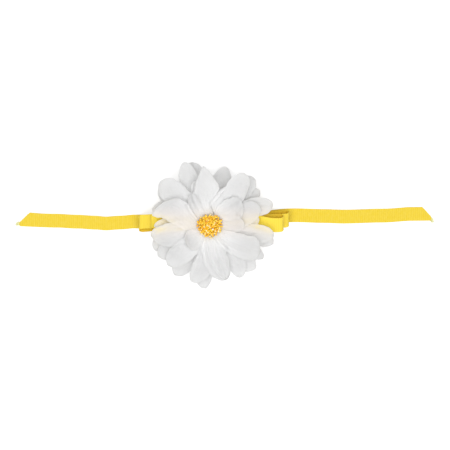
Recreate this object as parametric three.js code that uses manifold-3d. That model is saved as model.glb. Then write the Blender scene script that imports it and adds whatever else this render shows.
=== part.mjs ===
// Flower hair clip: five layers of white fabric petals round a yellow stamen centre, on a bow
// of yellow ribbon that is bound to a sprung alligator clip. Sizes are in millimetres and +Z is
// up. The clip lies underneath, the ribbon's tails run along X, and the flower's axis is upright.

import * as THREE from 'three';
import { mergeVertices } from 'three/addons/utils/BufferGeometryUtils.js';
import Module from 'manifold-3d';

const wasm = await Module();
wasm.setup();

// Fits

const fit_gap = 0.3;
const tooth_gap = 0.4;

// Clip sizes

const clip_length = 46;
const clip_height = 11;
const clip_shift = 1;
const sheet = 0.8;
const jaw_width = 8;
const lever_length = 13;
const lever_bend = 2;
const lever_lift = 0.4;
const lever_round = 3;
const jaw_tip_round = 0.8;
const pivot_drop = 2.7;
const ear_wall = 1.1;
const tooth_height = 0.6;
const tooth_count = 4;
const pin_radius = 0.8;
const pin_head_radius = 1.3;
const pin_head_length = 0.5;

// Spring sizes

const wire_radius = 0.3;
const coil_radius = 1.5;
const coil_pitch = 1.1;
const coil_turns = 2.5;
const coil_clearance = 0.4;
const upper_leg_length = 10;
const lower_leg_length = 9;

// Ribbon sizes

const ribbon_width = 10;
const ribbon_thickness = 0.5;
const waist_length = 10;
const wrap_corner = 0.7;
const bow_offset = 2.1;
const drape_clearance = 0.3;
const drape_length = 34;
const tail_wave = 0.5;
const right_tail = { reach: 165, short_reach: 157 };
const left_tail = { reach: 143.2, short_reach: 133.3 };

// Loop sizes: reach from the flower's axis, open height, and how far the top leaf leans along Y

const outer_lift = 3;
const inner_lift = 0.3;
const outer_right = { reach: 57.5, open: 4.5, lean: -2.5 };
const outer_left = { reach: 51.8, open: 4.5, lean: 1 };
const inner_right = { reach: 53.3, open: 4.4, lean: -5 };
const inner_left = { reach: 43.7, open: 2, lean: 0.5 };

// Flower sizes

const felt_radius = 11;
const felt_thickness = 1.6;
const cloth = 0.4;
const hub_radius = 8;
const petal_reach = 46;
const petal_width = 16;
const rim_spread = 2.6;
const top_spread = 4.6;
const rim_sag = 13;

// Stamen sizes

const peg_radius = 2.2;
const dome_radius = 6.6;
const dome_rim = 0.9;
const dome_rise = 3;
const filament_count = 120;
const filament_length = 3.4;
const filament_radius = 0.26;
const knob_radius = 0.5;
const knob_foot_share = 0.66;
const knob_waist_share = 0.84;
const length_swing_share = 0.15;

// Counts of flats on round pieces

const pin_sides = 16;
const disc_sides = 32;
const dome_sides = 24;
const dome_rings = 4;
const wire_sides = 5;
const wire_steps = 48;
const filament_sides = 3;
const arc_flats = 5;
const loop_flats = 8;

// Places that the sizes above settle

const waist_half = waist_length / 2;
const lever_end = clip_shift - clip_length / 2;
const jaw_tip = clip_shift + clip_length / 2;
const pivot_x = lever_end + lever_length;
const upper_face = clip_height - sheet;
const pivot_z = upper_face - pivot_drop;
const lower_face = pivot_z - coil_radius - wire_radius - coil_clearance;
const lower_width = jaw_width - (sheet + fit_gap) * 2;
const lever_fall = Math.atan2(lower_face - sheet - lever_lift, lever_length - lever_bend);
const lever_top = lever_lift + sheet / Math.cos(lever_fall);
const pin_hole = pin_radius + fit_gap;
const leaf_pitch = ribbon_thickness + fit_gap;
const tail_top = clip_height + fit_gap + ribbon_thickness / 2;
const tail_rest = ribbon_thickness / 2;
const drape_start = jaw_tip + drape_clearance;
const lying_start = drape_start + drape_length;
const wrap_inside_top = tail_top + leaf_pitch * 4 + ribbon_thickness / 2 + fit_gap;
const felt_bottom = wrap_inside_top + ribbon_thickness + fit_gap;
const hub_bottom = felt_bottom + felt_thickness + fit_gap;
const layer_pitch = cloth + fit_gap;
const hub_hole = peg_radius + fit_gap;

// Solids and meshes

function toSolid(geometry) {
  geometry.deleteAttribute('normal');
  geometry.deleteAttribute('uv');
  const merged = mergeVertices(geometry);
  return new wasm.Manifold(new wasm.Mesh({
    numProp: 3,
    vertProperties: Float32Array.from(merged.attributes.position.array),
    triVerts: Uint32Array.from(merged.index.array),
  }));
}

function toGeometry(solid) {
  const mesh = solid.getMesh();
  return indexedGeometry(Array.from(mesh.vertProperties), Array.from(mesh.triVerts));
}

function indexedGeometry(positions, indices) {
  const geometry = new THREE.BufferGeometry();
  geometry.setAttribute('position', new THREE.Float32BufferAttribute(positions, 3));
  geometry.setIndex(indices);
  const faceted = geometry.toNonIndexed();
  faceted.computeVertexNormals();
  return faceted;
}

function extruded(shape, depth) {
  return new THREE.ExtrudeGeometry(shape, { depth, bevelEnabled: false, curveSegments: arc_flats });
}

// A side profile in X and Z, given its width along Y
function fromSide(shape, width) {
  return extruded(shape, width).rotateX(Math.PI / 2).translate(0, width / 2, 0);
}

// An end profile in Y and Z, given its length along X
function fromEnd(shape, length) {
  const turn = new THREE.Matrix4().makeBasis(
    new THREE.Vector3(0, 1, 0), new THREE.Vector3(0, 0, 1), new THREE.Vector3(1, 0, 0));
  return extruded(shape, length).applyMatrix4(turn);
}

// A strip that is long in X, round at its low and high ends
function roundedStrip(low, high, width, low_round, high_round) {
  const half = width / 2;
  const shape = new THREE.Shape();
  shape.moveTo(low + low_round, -half);
  shape.lineTo(high - high_round, -half);
  shape.absarc(high - high_round, high_round - half, high_round, -Math.PI / 2, 0);
  shape.absarc(high - high_round, half - high_round, high_round, 0, Math.PI / 2);
  shape.absarc(low + low_round, half - low_round, low_round, Math.PI / 2, Math.PI);
  shape.absarc(low + low_round, low_round - half, low_round, Math.PI, Math.PI * 1.5);
  return shape;
}

// Clip jaws: pressed sheet, each with a toothed lip at the tip and a pair of ears for the pin

const mouth_z = (upper_face + lower_face) / 2;

// The toothed line where the lips meet, as points from one side of the jaw to the other
function toothLine(width, drop) {
  const steps = tooth_count * 2;
  const points = [];
  for (let step = 0; step <= steps; step += 1) {
    const side = step % 2 === 0 ? 1 : -1;
    const y = width * (step / steps - 1 / 2);
    points.push(new THREE.Vector2(y, mouth_z + side * tooth_height / 2 + drop));
  }
  return points;
}

function lip(width, root_z, drop) {
  const half = width / 2;
  const points = toothLine(width, drop);
  points.push(new THREE.Vector2(half, root_z), new THREE.Vector2(-half, root_z));
  return fromEnd(new THREE.Shape(points), sheet).translate(jaw_tip - sheet, 0, 0);
}

// An ear is round about the pin and runs to the sheet that carries it
function ear(radius, root_z) {
  const shape = new THREE.Shape();
  const up = root_z > pivot_z;
  shape.moveTo(pivot_x - radius, root_z);
  shape.lineTo(pivot_x - radius, pivot_z);
  shape.absarc(pivot_x, pivot_z, radius, Math.PI, up ? Math.PI * 2 : 0, !up);
  shape.lineTo(pivot_x + radius, root_z);
  const hole = new THREE.Path();
  hole.absarc(pivot_x, pivot_z, pin_hole, 0, Math.PI * 2);
  shape.holes.push(hole);
  return shape;
}

function earPair(radius, root_z, width) {
  const side = (width - sheet) / 2;
  const left = toSolid(fromSide(ear(radius, root_z), sheet).translate(0, side, 0));
  const right = toSolid(fromSide(ear(radius, root_z), sheet).translate(0, -side, 0));
  return left.add(right);
}

function upperJaw() {
  const outline = roundedStrip(lever_end, jaw_tip, jaw_width, lever_round, jaw_tip_round);
  const plate = toSolid(extruded(outline, sheet).translate(0, 0, upper_face));
  const ears = earPair(pin_hole + ear_wall, upper_face + sheet / 2, jaw_width);
  const lip_width = lower_width;
  const teeth = toSolid(lip(lip_width, upper_face + sheet / 2, tooth_gap / 2));
  return toGeometry(plate.add(ears).add(teeth));
}

// The lower jaw's plate is level, and its lever falls away behind the pin nearly to the table
function lowerJawProfile() {
  const bend = pivot_x - lever_bend;
  const shape = new THREE.Shape();
  shape.moveTo(jaw_tip, lower_face);
  shape.lineTo(bend, lower_face);
  shape.lineTo(lever_end, lever_top);
  shape.lineTo(lever_end, lever_lift);
  shape.lineTo(bend, lower_face - sheet);
  shape.lineTo(jaw_tip, lower_face - sheet);
  return shape;
}

function lowerJaw() {
  const outline = roundedStrip(lever_end, jaw_tip, lower_width, lever_round - sheet, jaw_tip_round);
  const blank = toSolid(extruded(outline, clip_height));
  const strip = toSolid(fromSide(lowerJawProfile(), lower_width)).intersect(blank);
  const ears = earPair(pin_hole + ear_wall - fit_gap, lower_face - sheet / 2, lower_width);
  const teeth = toSolid(lip(lower_width, lower_face - sheet / 2, -tooth_gap / 2));
  return toGeometry(strip.add(ears).add(teeth));
}

// Hinge pin with a head upset at each end

function hingePin() {
  const head_inside = jaw_width / 2 + fit_gap;
  const head_outside = head_inside + pin_head_length;
  const profile = [
    new THREE.Vector2(0, -head_outside),
    new THREE.Vector2(pin_head_radius, -head_outside),
    new THREE.Vector2(pin_head_radius, -head_inside),
    new THREE.Vector2(pin_radius, -head_inside),
    new THREE.Vector2(pin_radius, head_inside),
    new THREE.Vector2(pin_head_radius, head_inside),
    new THREE.Vector2(pin_head_radius, head_outside),
    new THREE.Vector2(0, head_outside),
  ];
  return new THREE.LatheGeometry(profile, pin_sides);
}

// Torsion spring: the coil turns about the pin and its legs push the two levers apart

const steps_per_turn = 8;
const least_turn_share = 0.5;
const gap_samples = 400;

function springPoints() {
  const coil_length = coil_pitch * coil_turns;
  const start_angle = -Math.PI / 2;
  const steps = Math.round(coil_turns * steps_per_turn);
  const points = [];
  const leg_rise = wire_radius + fit_gap;
  const lower_leg_share = (lever_length - lower_leg_length) / (lever_length - lever_bend);
  const lever_face = lever_top + (lower_face - lever_top) * lower_leg_share;
  const lower_leg_z = lever_face - pivot_z + leg_rise / Math.cos(lever_fall);
  points.push(new THREE.Vector3(-lower_leg_length, -coil_length / 2, lower_leg_z));
  points.push(new THREE.Vector3(-lever_bend, -coil_length / 2, -coil_radius));
  for (let step = 0; step <= steps; step += 1) {
    const share = step / steps;
    const angle = start_angle + share * coil_turns * Math.PI * 2;
    points.push(new THREE.Vector3(
      Math.cos(angle) * coil_radius,
      (share - 1 / 2) * coil_length,
      Math.sin(angle) * coil_radius));
  }
  const upper_leg_z = pivot_drop - leg_rise;
  points.push(new THREE.Vector3(-lever_bend, coil_length / 2, coil_radius));
  points.push(new THREE.Vector3(-upper_leg_length, coil_length / 2, upper_leg_z));
  return points;
}

// The least clear distance between neighbouring turns of the wire
function springGap(curve) {
  const points = curve.getSpacedPoints(gap_samples);
  const apart = Math.PI * 2 * coil_radius * least_turn_share;
  const skip = Math.ceil(apart * gap_samples / curve.getLength());
  let least = Infinity;
  for (let first = 0; first < points.length; first += 1) {
    for (let second = first + skip; second < points.length; second += 1) {
      least = Math.min(least, points[first].distanceTo(points[second]));
    }
  }
  return least - wire_radius * 2;
}

function torsionSpring() {
  const curve = new THREE.CatmullRomCurve3(springPoints(), false, 'centripetal');
  console.log(`least gap between the spring's turns: ${springGap(curve).toFixed(2)} mm`);
  const section = new THREE.Shape();
  for (let side = 0; side < wire_sides; side += 1) {
    const angle = (side / wire_sides) * Math.PI * 2;
    const x = Math.cos(angle) * wire_radius;
    const y = Math.sin(angle) * wire_radius;
    if (side === 0) section.moveTo(x, y);
    else section.lineTo(x, y);
  }
  const settings = { steps: wire_steps, bevelEnabled: false, extrudePath: curve };
  return new THREE.ExtrudeGeometry(section, settings);
}

// Ribbon: a flat strip lofted through stations that each hold a middle point and a lean

// Places along each tail, as shares of its reach and of the ribbon's width
const right_drift_shares = [
  [0, 0], [0.18, 0.11], [0.36, 0.22], [0.49, 0.17], [0.58, 0.13], [0.76, 0.20], [0.90, 0.32], [1, 0.33],
];
const left_drift_shares = [
  [0, 0], [0.21, -0.09], [0.36, -0.23], [0.44, -0.31], [0.52, -0.37], [0.57, -0.31], [0.67, -0.24],
  [0.78, -0.17], [1, -0.08],
];

// The share of a lying tail's length at which its wave ends
const wave_end_share = 0.82;

// A soft step from 0 to 1
function ease(share) {
  const held = Math.min(1, Math.max(0, share));
  return (1 - Math.cos(Math.PI * held)) / 2;
}

// How far the ribbon's middle line strays along Y at a distance from the waist
function drift(x) {
  const shares = x > 0 ? right_drift_shares : left_drift_shares;
  const reach = x > 0 ? right_tail.reach : left_tail.reach;
  const along = Math.max(0, Math.abs(x) - waist_half) / (reach - waist_half);
  let next = 1;
  while (next < shares.length - 1 && shares[next][0] < along) next += 1;
  const [low_along, low_side] = shares[next - 1];
  const [high_along, high_side] = shares[next];
  const share = ease((along - low_along) / (high_along - low_along));
  return (low_side + (high_side - low_side) * share) * ribbon_width;
}

// The tails leave the clip's flat top, drape over its ends and lie on the table, where each one
// lifts in a long low wave and is flat again near its end
function tailHeight(x) {
  const fallen = ease((Math.abs(x) - drape_start) / drape_length);
  const reach = x > 0 ? right_tail.reach : left_tail.reach;
  const lying = (Math.abs(x) - lying_start) / (reach - lying_start);
  const held = Math.min(1, Math.max(0, lying / wave_end_share));
  return tail_top + (tail_rest - tail_top) * fallen + tail_wave * Math.sin(Math.PI * held) ** 2;
}

function loft(rings, closed) {
  const corners = rings[0].length;
  const positions = rings.flatMap((ring) => ring.flatMap((point) => point.toArray()));
  const indices = [];
  const quad = (a, b, c, d) => indices.push(a, b, c, a, c, d);
  const spans = closed ? rings.length : rings.length - 1;
  for (let span = 0; span < spans; span += 1) {
    const here = span * corners;
    const there = ((span + 1) % rings.length) * corners;
    for (let corner = 0; corner < corners; corner += 1) {
      const following = (corner + 1) % corners;
      quad(here + corner, there + corner, there + following, here + following);
    }
  }
  if (!closed) {
    const last = (rings.length - 1) * corners;
    quad(0, 1, 2, 3);
    quad(last + 3, last + 2, last + 1, last);
  }
  return indexedGeometry(positions, indices);
}

// Each station has x, z and y, and may trim the edge on its +Y side back along X
function ribbonStrip(stations, closed) {
  const count = stations.length;
  const rings = stations.map((station, place) => {
    const before = stations[closed ? (place + count - 1) % count : Math.max(0, place - 1)];
    const after = stations[closed ? (place + 1) % count : Math.min(count - 1, place + 1)];
    const along = new THREE.Vector2(after.x - before.x, after.z - before.z).normalize();
    const across_x = -along.y * ribbon_thickness / 2;
    const across_z = along.x * ribbon_thickness / 2;
    const trim = station.trim ?? 0;
    const corner = (side, face) => new THREE.Vector3(
      station.x + across_x * face - (side > 0 ? trim : 0),
      bow_offset + station.y + side * ribbon_width / 2,
      station.z + across_z * face);
    return [corner(-1, 1), corner(1, 1), corner(1, -1), corner(-1, -1)];
  });
  return loft(rings, closed);
}

// Stations are closer where the ribbon bends over the clip's ends
const drape_stations_shares = [0, 0.12, 0.24, 0.36, 0.5, 0.64, 0.76, 0.88, 1];
const flat_stations_shares = [0.1, 0.2, 0.3, 0.42, 0.55, 0.7, wave_end_share];

function tailPlaces(tail) {
  const draped = drape_stations_shares.map((share) => drape_start + share * drape_length);
  const lying = flat_stations_shares.map((share) => lying_start + share * (tail.reach - lying_start));
  return [waist_half, (waist_half + drape_start) / 2, ...draped, ...lying];
}

function ribbonTails() {
  const station = (x) => ({ x, z: tailHeight(x), y: drift(x) });
  const left = tailPlaces(left_tail).reverse().map((place) => station(-place));
  const right = tailPlaces(right_tail).map(station);
  const left_end = station(-left_tail.reach);
  left_end.trim = left_tail.short_reach - left_tail.reach;
  const right_end = station(right_tail.reach);
  right_end.trim = right_tail.reach - right_tail.short_reach;
  return ribbonStrip([left_end, ...left, ...right, right_end], false);
}

// Bow loops: a ribbon ring pinched at the waist, so that each side opens into a loop

function endRadius(lobe) {
  return (leaf_pitch + lobe.open) / 2;
}

function lobeCentre(lobe) {
  return lobe.reach - ribbon_thickness / 2 - endRadius(lobe);
}

// How far a lobe has opened at a place, from 0 over the clip to 1 at its end
function opened(x, lobe) {
  return ease((Math.abs(x) - drape_start) / (lobeCentre(lobe) - drape_start));
}

function outerLower(x) {
  const lobe = x > 0 ? outer_right : outer_left;
  return tailHeight(x) + leaf_pitch + outer_lift * opened(x, lobe);
}

function outerUpper(x) {
  const lobe = x > 0 ? outer_right : outer_left;
  return outerLower(x) + leaf_pitch + lobe.open * opened(x, lobe);
}

function innerLower(x) {
  const lobe = x > 0 ? inner_right : inner_left;
  return outerUpper(x) + leaf_pitch + inner_lift * opened(x, lobe);
}

function innerUpper(x) {
  const lobe = x > 0 ? inner_right : inner_left;
  return innerLower(x) + leaf_pitch + lobe.open * opened(x, lobe);
}

// The lower leaf takes this share of a loop's lean, and the rest comes round its end
const lower_lean_share = 0.25;
const leaf_stations_shares = [0, 0.14, 0.28, 0.4, 0.52, 0.64, 0.76, 0.88, 1];

// One side of the ring: out along one leaf, round the end and back along the other
function lobeStations(side, lobe, lower, upper) {
  const centre = lobeCentre(lobe);
  const radius = endRadius(lobe);
  const places = [
    waist_half,
    (waist_half + drape_start) / 2,
    ...leaf_stations_shares.map((share) => drape_start + share * (centre - drape_start)),
  ];
  const station = (place, leaf, lean_share) => {
    const x = place * side;
    return { x, z: leaf(x), y: drift(x) + lobe.lean * lean_share * opened(x, lobe) };
  };
  const out = places.map((place) => station(place, lower, lower_lean_share));
  const back = places.map((place) => station(place, upper, 1)).reverse();
  const end = [];
  for (let step = 1; step < loop_flats; step += 1) {
    const angle = (step / loop_flats) * Math.PI;
    const lean_share = lower_lean_share + (1 - lower_lean_share) * ease(step / loop_flats);
    const x = (centre + radius * Math.sin(angle)) * side;
    const z = lower(centre * side) + radius * (1 - Math.cos(angle));
    end.push({ x, z, y: drift(x) + lobe.lean * lean_share });
  }
  return [...out, ...end, ...back];
}

function bowLoops(right, left, lower, upper) {
  const right_side = lobeStations(1, right, lower, upper);
  const left_side = lobeStations(-1, left, lower, upper).reverse();
  return ribbonStrip([...right_side, ...left_side], true);
}

// Centre wrap: one turn of ribbon round the bow's waist and the clip's upper jaw

function roundedRing(half, low, high, corner) {
  const shape = new THREE.Shape();
  shape.absarc(half - corner, low + corner, corner, -Math.PI / 2, 0);
  shape.absarc(half - corner, high - corner, corner, 0, Math.PI / 2);
  shape.absarc(corner - half, high - corner, corner, Math.PI / 2, Math.PI);
  shape.absarc(corner - half, low + corner, corner, Math.PI, Math.PI * 1.5);
  return shape;
}

function centreWrap() {
  const half = ribbon_width / 2 + fit_gap;
  const low = upper_face - fit_gap;
  const band = ribbon_thickness;
  const outside = roundedRing(
    half + band, low - band, wrap_inside_top + band, wrap_corner + band);
  outside.holes.push(roundedRing(half, low, wrap_inside_top, wrap_corner));
  return fromEnd(outside, waist_length).translate(-waist_half, 0, 0);
}

// Felt disc that the petals are glued to

function feltDisc() {
  const disc = new THREE.CylinderGeometry(felt_radius, felt_radius, felt_thickness, disc_sides);
  return disc.rotateX(Math.PI / 2).translate(0, 0, felt_bottom + felt_thickness / 2);
}

// Petal layers, bottom first. A layer is one die-cut blossom with a hub and eight petals.
// Each petal has the angle of its tip in degrees, then shares: of the reach, of the width, and
// of the free height above it for its turned up edges and for its curled tip.

const petals_per_layer = 8;
const petal_layers_shares = [
  { turn: 32.7, petals: [
    [35, 0.94, 0.75, 0.3, 0.1], [75.7, 0.98, 0.8, 0.4, 0.1], [120, 0.85, 0.8, 0.3, 0],
    [165, 0.85, 0.8, 0.3, 0], [215, 0.85, 0.8, 0.3, 0], [262, 0.85, 0.8, 0.3, 0],
    [305, 0.85, 0.8, 0.3, 0], [344, 1.05, 0.65, 0.5, 0.1]] },
  { turn: 10.4, petals: [
    [5, 0.85, 0.8, 0.3, 0.1], [45.7, 1.045, 0.93, 0.5, 0.3], [107, 1.077, 0.85, 0.5, 0.1],
    [143, 1.045, 0.93, 0.3, 0.1], [201.6, 0.98, 0.83, 0.4, 0.1], [239, 0.968, 0.83, 0.5, 0.1],
    [273, 0.78, 0.8, 0.3, 0], [328.5, 0.997, 0.6, 0.5, 0.1]] },
  { turn: 30, petals: [
    [20.9, 1.06, 0.93, 0.4, 0.1], [67, 0.85, 0.8, 0.3, 0], [112.3, 1.085, 0.85, 0.5, 0.2],
    [159, 0.965, 0.83, 0.4, 0.1], [211.6, 0.936, 0.83, 0.4, 0.1], [265, 1.01, 0.65, 0.6, 0.1],
    [313.3, 0.994, 0.83, 0.5, 0.1], [352.4, 1.03, 0.74, 0.5, 0.2]] },
  { turn: 3.8, petals: [
    [21.5, 0.85, 0.88, 0.4, 0.2], [58, 0.98, 1.1, 0.6, 0.3], [100, 0.75, 0.8, 0.3, 0],
    [137.8, 1.065, 1, 0.4, 0.2], [190, 0.955, 0.93, 0.4, 0.1], [225.6, 0.91, 1, 0.5, 0.2],
    [255.7, 0.953, 0.83, 0.4, 0.1], [302, 0.957, 0.74, 0.5, 0.1]] },
  { turn: 1.5, petals: [
    [2, 0.64, 0.66, 0.4, 0.2], [36.5, 0.61, 0.85, 0.5, 0.5], [95.4, 0.965, 1.16, 0.8, 0.2],
    [130, 0.61, 0.46, 0.8, 0.2], [167, 0.87, 1.02, 0.5, 0.2], [228, 0.5, 0.93, 0.5, 0.5],
    [281, 0.885, 1.02, 0.6, 0.1], [332, 0.87, 1, 0.4, 0.3]] },
];

const row_shares = [0, 0.2, 0.42, 0.64, 0.82, 0.94, 1];
const column_shares = [-1, -0.5, 0, 0.5, 1];
const belly_share = 0.62;
const tip_share = 0.35;
const root_half_angle = THREE.MathUtils.degToRad(18);
const spread_power = 1.3;
const sag_fade_share = 0.21;
const cup_start_share = 0.5;
const look_back_share = 0.95;

// A petal widens from its root to its belly and closes in a round end
function petalHalfWidth(share, width) {
  const root_half = hub_radius * Math.sin(root_half_angle);
  const half = width * petal_width / 2;
  if (share < belly_share) {
    return root_half + (half - root_half) * Math.sin(Math.PI / 2 * share / belly_share);
  }
  const past = (share - belly_share) / (1 - belly_share);
  return half * (tip_share + (1 - tip_share) * Math.sqrt(1 - past * past));
}

// Height of a layer's top face before its petals are cupped: the layers part towards the rim,
// and the lower ones sag on both sides of the ribbon
function layerHeight(layer, x, y) {
  const radius = Math.hypot(x, y);
  const out = Math.max(0, (radius - hub_radius) / (petal_reach - hub_radius));
  const sag = rim_sag * (1 - layer * sag_fade_share) * (y / radius) ** 2 * out ** 2;
  const spread = layer * rim_spread * out ** spread_power;
  return hub_bottom + cloth + layer * layer_pitch + spread - sag;
}

function freeHeight(layer, radius) {
  const out = Math.max(0, (radius - hub_radius) / (petal_reach - hub_radius));
  const rim = layer === petal_layers_shares.length - 1 ? top_spread : rim_spread;
  return rim * out ** spread_power;
}

function petalPoint(layer, root, petal, share, across) {
  const [tip_degrees, reach_share, width_share, cup_share, curl_share] = petal;
  const tip = THREE.MathUtils.degToRad(tip_degrees);
  const lean = Math.atan2(Math.sin(tip - root), Math.cos(tip - root));
  const half = petalHalfWidth(share, width_share);
  if (share === 0) {
    const angle = root + across * root_half_angle;
    const x = Math.cos(angle) * hub_radius;
    const y = Math.sin(angle) * hub_radius;
    return new THREE.Vector3(x, y, layerHeight(layer, x, y));
  }
  const spine = (at) => {
    const angle = root + lean * at;
    const radius = hub_radius + (reach_share * petal_reach - hub_radius) * at;
    return new THREE.Vector2(Math.cos(angle), Math.sin(angle)).multiplyScalar(radius);
  };
  const middle = spine(share);
  const along = spine(share).sub(spine(share * look_back_share)).normalize();
  const x = middle.x - along.y * across * half;
  const y = middle.y + along.x * across * half;
  const cup = cup_share * across ** 2 * Math.min(1, share / cup_start_share);
  const curl = curl_share * Math.max(0, (share - belly_share) / (1 - belly_share)) ** 2;
  const lift = Math.min(1, cup + curl) * freeHeight(layer, Math.hypot(x, y));
  return new THREE.Vector3(x, y, layerHeight(layer, x, y) + lift);
}

function petalLayer(layer) {
  const { turn, petals } = petal_layers_shares[layer];
  const tops = [];
  const indices = [];
  const add = (point) => tops.push(point) - 1;
  const columns = column_shares.length;
  const hub_inner = [];
  const hub_outer = [];
  const grids = [];
  petals.forEach((petal, place) => {
    const root = THREE.MathUtils.degToRad(turn + place * 360 / petals_per_layer);
    const grid = row_shares.map((share) => column_shares.map(
      (across) => add(petalPoint(layer, root, petal, share, across))));
    grids.push(grid);
    for (let column = 0; column < columns; column += 1) {
      const angle = root + column_shares[column] * root_half_angle;
      const x = Math.cos(angle) * hub_hole;
      const y = Math.sin(angle) * hub_hole;
      hub_inner.push(add(new THREE.Vector3(x, y, layerHeight(layer, x, y))));
      hub_outer.push(grid[0][column]);
    }
  });
  const under = tops.length;
  const face = (a, b, c, d) => {
    indices.push(a, b, c, a, c, d);
    indices.push(under + a, under + c, under + b, under + a, under + d, under + c);
  };
  const wall = (a, b) => indices.push(a, under + a, under + b, a, under + b, b);
  const ring = hub_inner.length;
  for (let step = 0; step < ring; step += 1) {
    const next = (step + 1) % ring;
    face(hub_inner[step], hub_outer[step], hub_outer[next], hub_inner[next]);
    wall(hub_inner[next], hub_inner[step]);
    if (next % columns === 0) wall(hub_outer[step], hub_outer[next]);
  }
  for (const grid of grids) {
    const last = grid.length - 1;
    for (let row = 0; row < last; row += 1) {
      for (let column = 0; column < columns - 1; column += 1) {
        face(grid[row][column], grid[row + 1][column], grid[row + 1][column + 1], grid[row][column + 1]);
      }
      wall(grid[row][0], grid[row + 1][0]);
      wall(grid[row + 1][columns - 1], grid[row][columns - 1]);
    }
    for (let column = 0; column < columns - 1; column += 1) {
      wall(grid[last][column], grid[last][column + 1]);
    }
  }
  const positions = tops.flatMap((point) => point.toArray());
  for (const point of tops) positions.push(point.x, point.y, point.z - cloth);
  return indexedGeometry(positions, indices);
}

// Stamen head: a moulded dome whose peg holds the layers, set with knobbed filaments

const golden_angle = Math.PI * (3 - Math.sqrt(5));
const filament_lean = THREE.MathUtils.degToRad(55);

function domeHeight(radius) {
  return dome_rise * (1 - (radius / dome_radius) ** 2);
}

function stamenDome(base_z) {
  const profile = [new THREE.Vector2(0, hub_bottom), new THREE.Vector2(peg_radius, hub_bottom)];
  profile.push(new THREE.Vector2(peg_radius, base_z), new THREE.Vector2(dome_radius, base_z));
  for (let ring = 0; ring <= dome_rings; ring += 1) {
    const radius = dome_radius * (1 - ring / dome_rings);
    profile.push(new THREE.Vector2(radius, base_z + dome_rim + domeHeight(radius)));
  }
  return new THREE.LatheGeometry(profile, dome_sides).rotateX(Math.PI / 2);
}

// A filament stands on its own origin, a little sunk into the dome
function filament(length) {
  const profile = [
    new THREE.Vector2(0, -dome_rim / 2),
    new THREE.Vector2(filament_radius, -dome_rim / 2),
    new THREE.Vector2(filament_radius, length * knob_foot_share),
    new THREE.Vector2(knob_radius, length * knob_waist_share),
    new THREE.Vector2(0, length),
  ];
  return new THREE.LatheGeometry(profile, filament_sides).rotateX(Math.PI / 2);
}

function stamenHead() {
  const base_z = hub_bottom + layer_pitch * petal_layers_shares.length;
  let head = toSolid(stamenDome(base_z));
  for (let place = 0; place < filament_count; place += 1) {
    const share = Math.sqrt((place + 1 / 2) / filament_count);
    const radius = share * (dome_radius - filament_radius * 2);
    const angle = place * golden_angle;
    const length = filament_length * (1 - length_swing_share * (1 - Math.sin(angle)));
    const strand = filament(length);
    strand.rotateZ(place).rotateY(share * filament_lean).rotateZ(angle);
    strand.translate(
      Math.cos(angle) * radius,
      Math.sin(angle) * radius,
      base_z + dome_rim + domeHeight(radius));
    head = head.add(toSolid(strand));
  }
  return toGeometry(head);
}

// Materials

function finish(color, roughness, metalness = 0) {
  return new THREE.MeshStandardMaterial({ color, roughness, metalness, side: THREE.DoubleSide });
}

const petal_fabric = finish(0xeceaf2, 0.85);
const yellow_ribbon = finish(0xf2d541, 0.7);
const stamen_plastic = finish(0xffb81c, 0.45);
const white_felt = finish(0xefeeea, 0.95);
const plated_steel = finish(0xb9bcc0, 0.3, 1);

// Assembly: the clip, pin and wrap share the bow's middle line, off the flower's axis

const part = new THREE.Group();

function piece(name, geometry, material) {
  const mesh = new THREE.Mesh(geometry, material);
  mesh.name = name;
  return mesh;
}

const clip = new THREE.Group();
clip.position.y = bow_offset;
clip.add(piece('clip_upper_jaw', upperJaw(), plated_steel));
clip.add(piece('clip_lower_jaw', lowerJaw(), plated_steel));
clip.add(piece('centre_wrap', centreWrap(), yellow_ribbon));

const hinge = new THREE.Group();
hinge.position.set(pivot_x, 0, pivot_z);
hinge.add(piece('hinge_pin', hingePin(), plated_steel));
hinge.add(piece('torsion_spring', torsionSpring(), plated_steel));
clip.add(hinge);
part.add(clip);

part.add(piece('ribbon_tails', ribbonTails(), yellow_ribbon));
const outer_loops = bowLoops(outer_right, outer_left, outerLower, outerUpper);
part.add(piece('bow_outer_loops', outer_loops, yellow_ribbon));
const inner_loops = bowLoops(inner_right, inner_left, innerLower, innerUpper);
part.add(piece('bow_inner_loops', inner_loops, yellow_ribbon));

part.add(piece('felt_disc', feltDisc(), white_felt));
for (let layer = 0; layer < petal_layers_shares.length; layer += 1) {
  part.add(piece(`petal_layer_${layer + 1}`, petalLayer(layer), petal_fabric));
}
part.add(piece('stamen_head', stamenHead(), stamen_plastic));

// The origin is under the middle of the whole part, on the table

const extent = new THREE.Box3().setFromObject(part);
const middle = extent.getCenter(new THREE.Vector3());
part.position.set(-middle.x, -middle.y, -extent.min.z);

const object = new THREE.Group();
object.add(part);

export default object;
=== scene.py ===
import math

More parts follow.
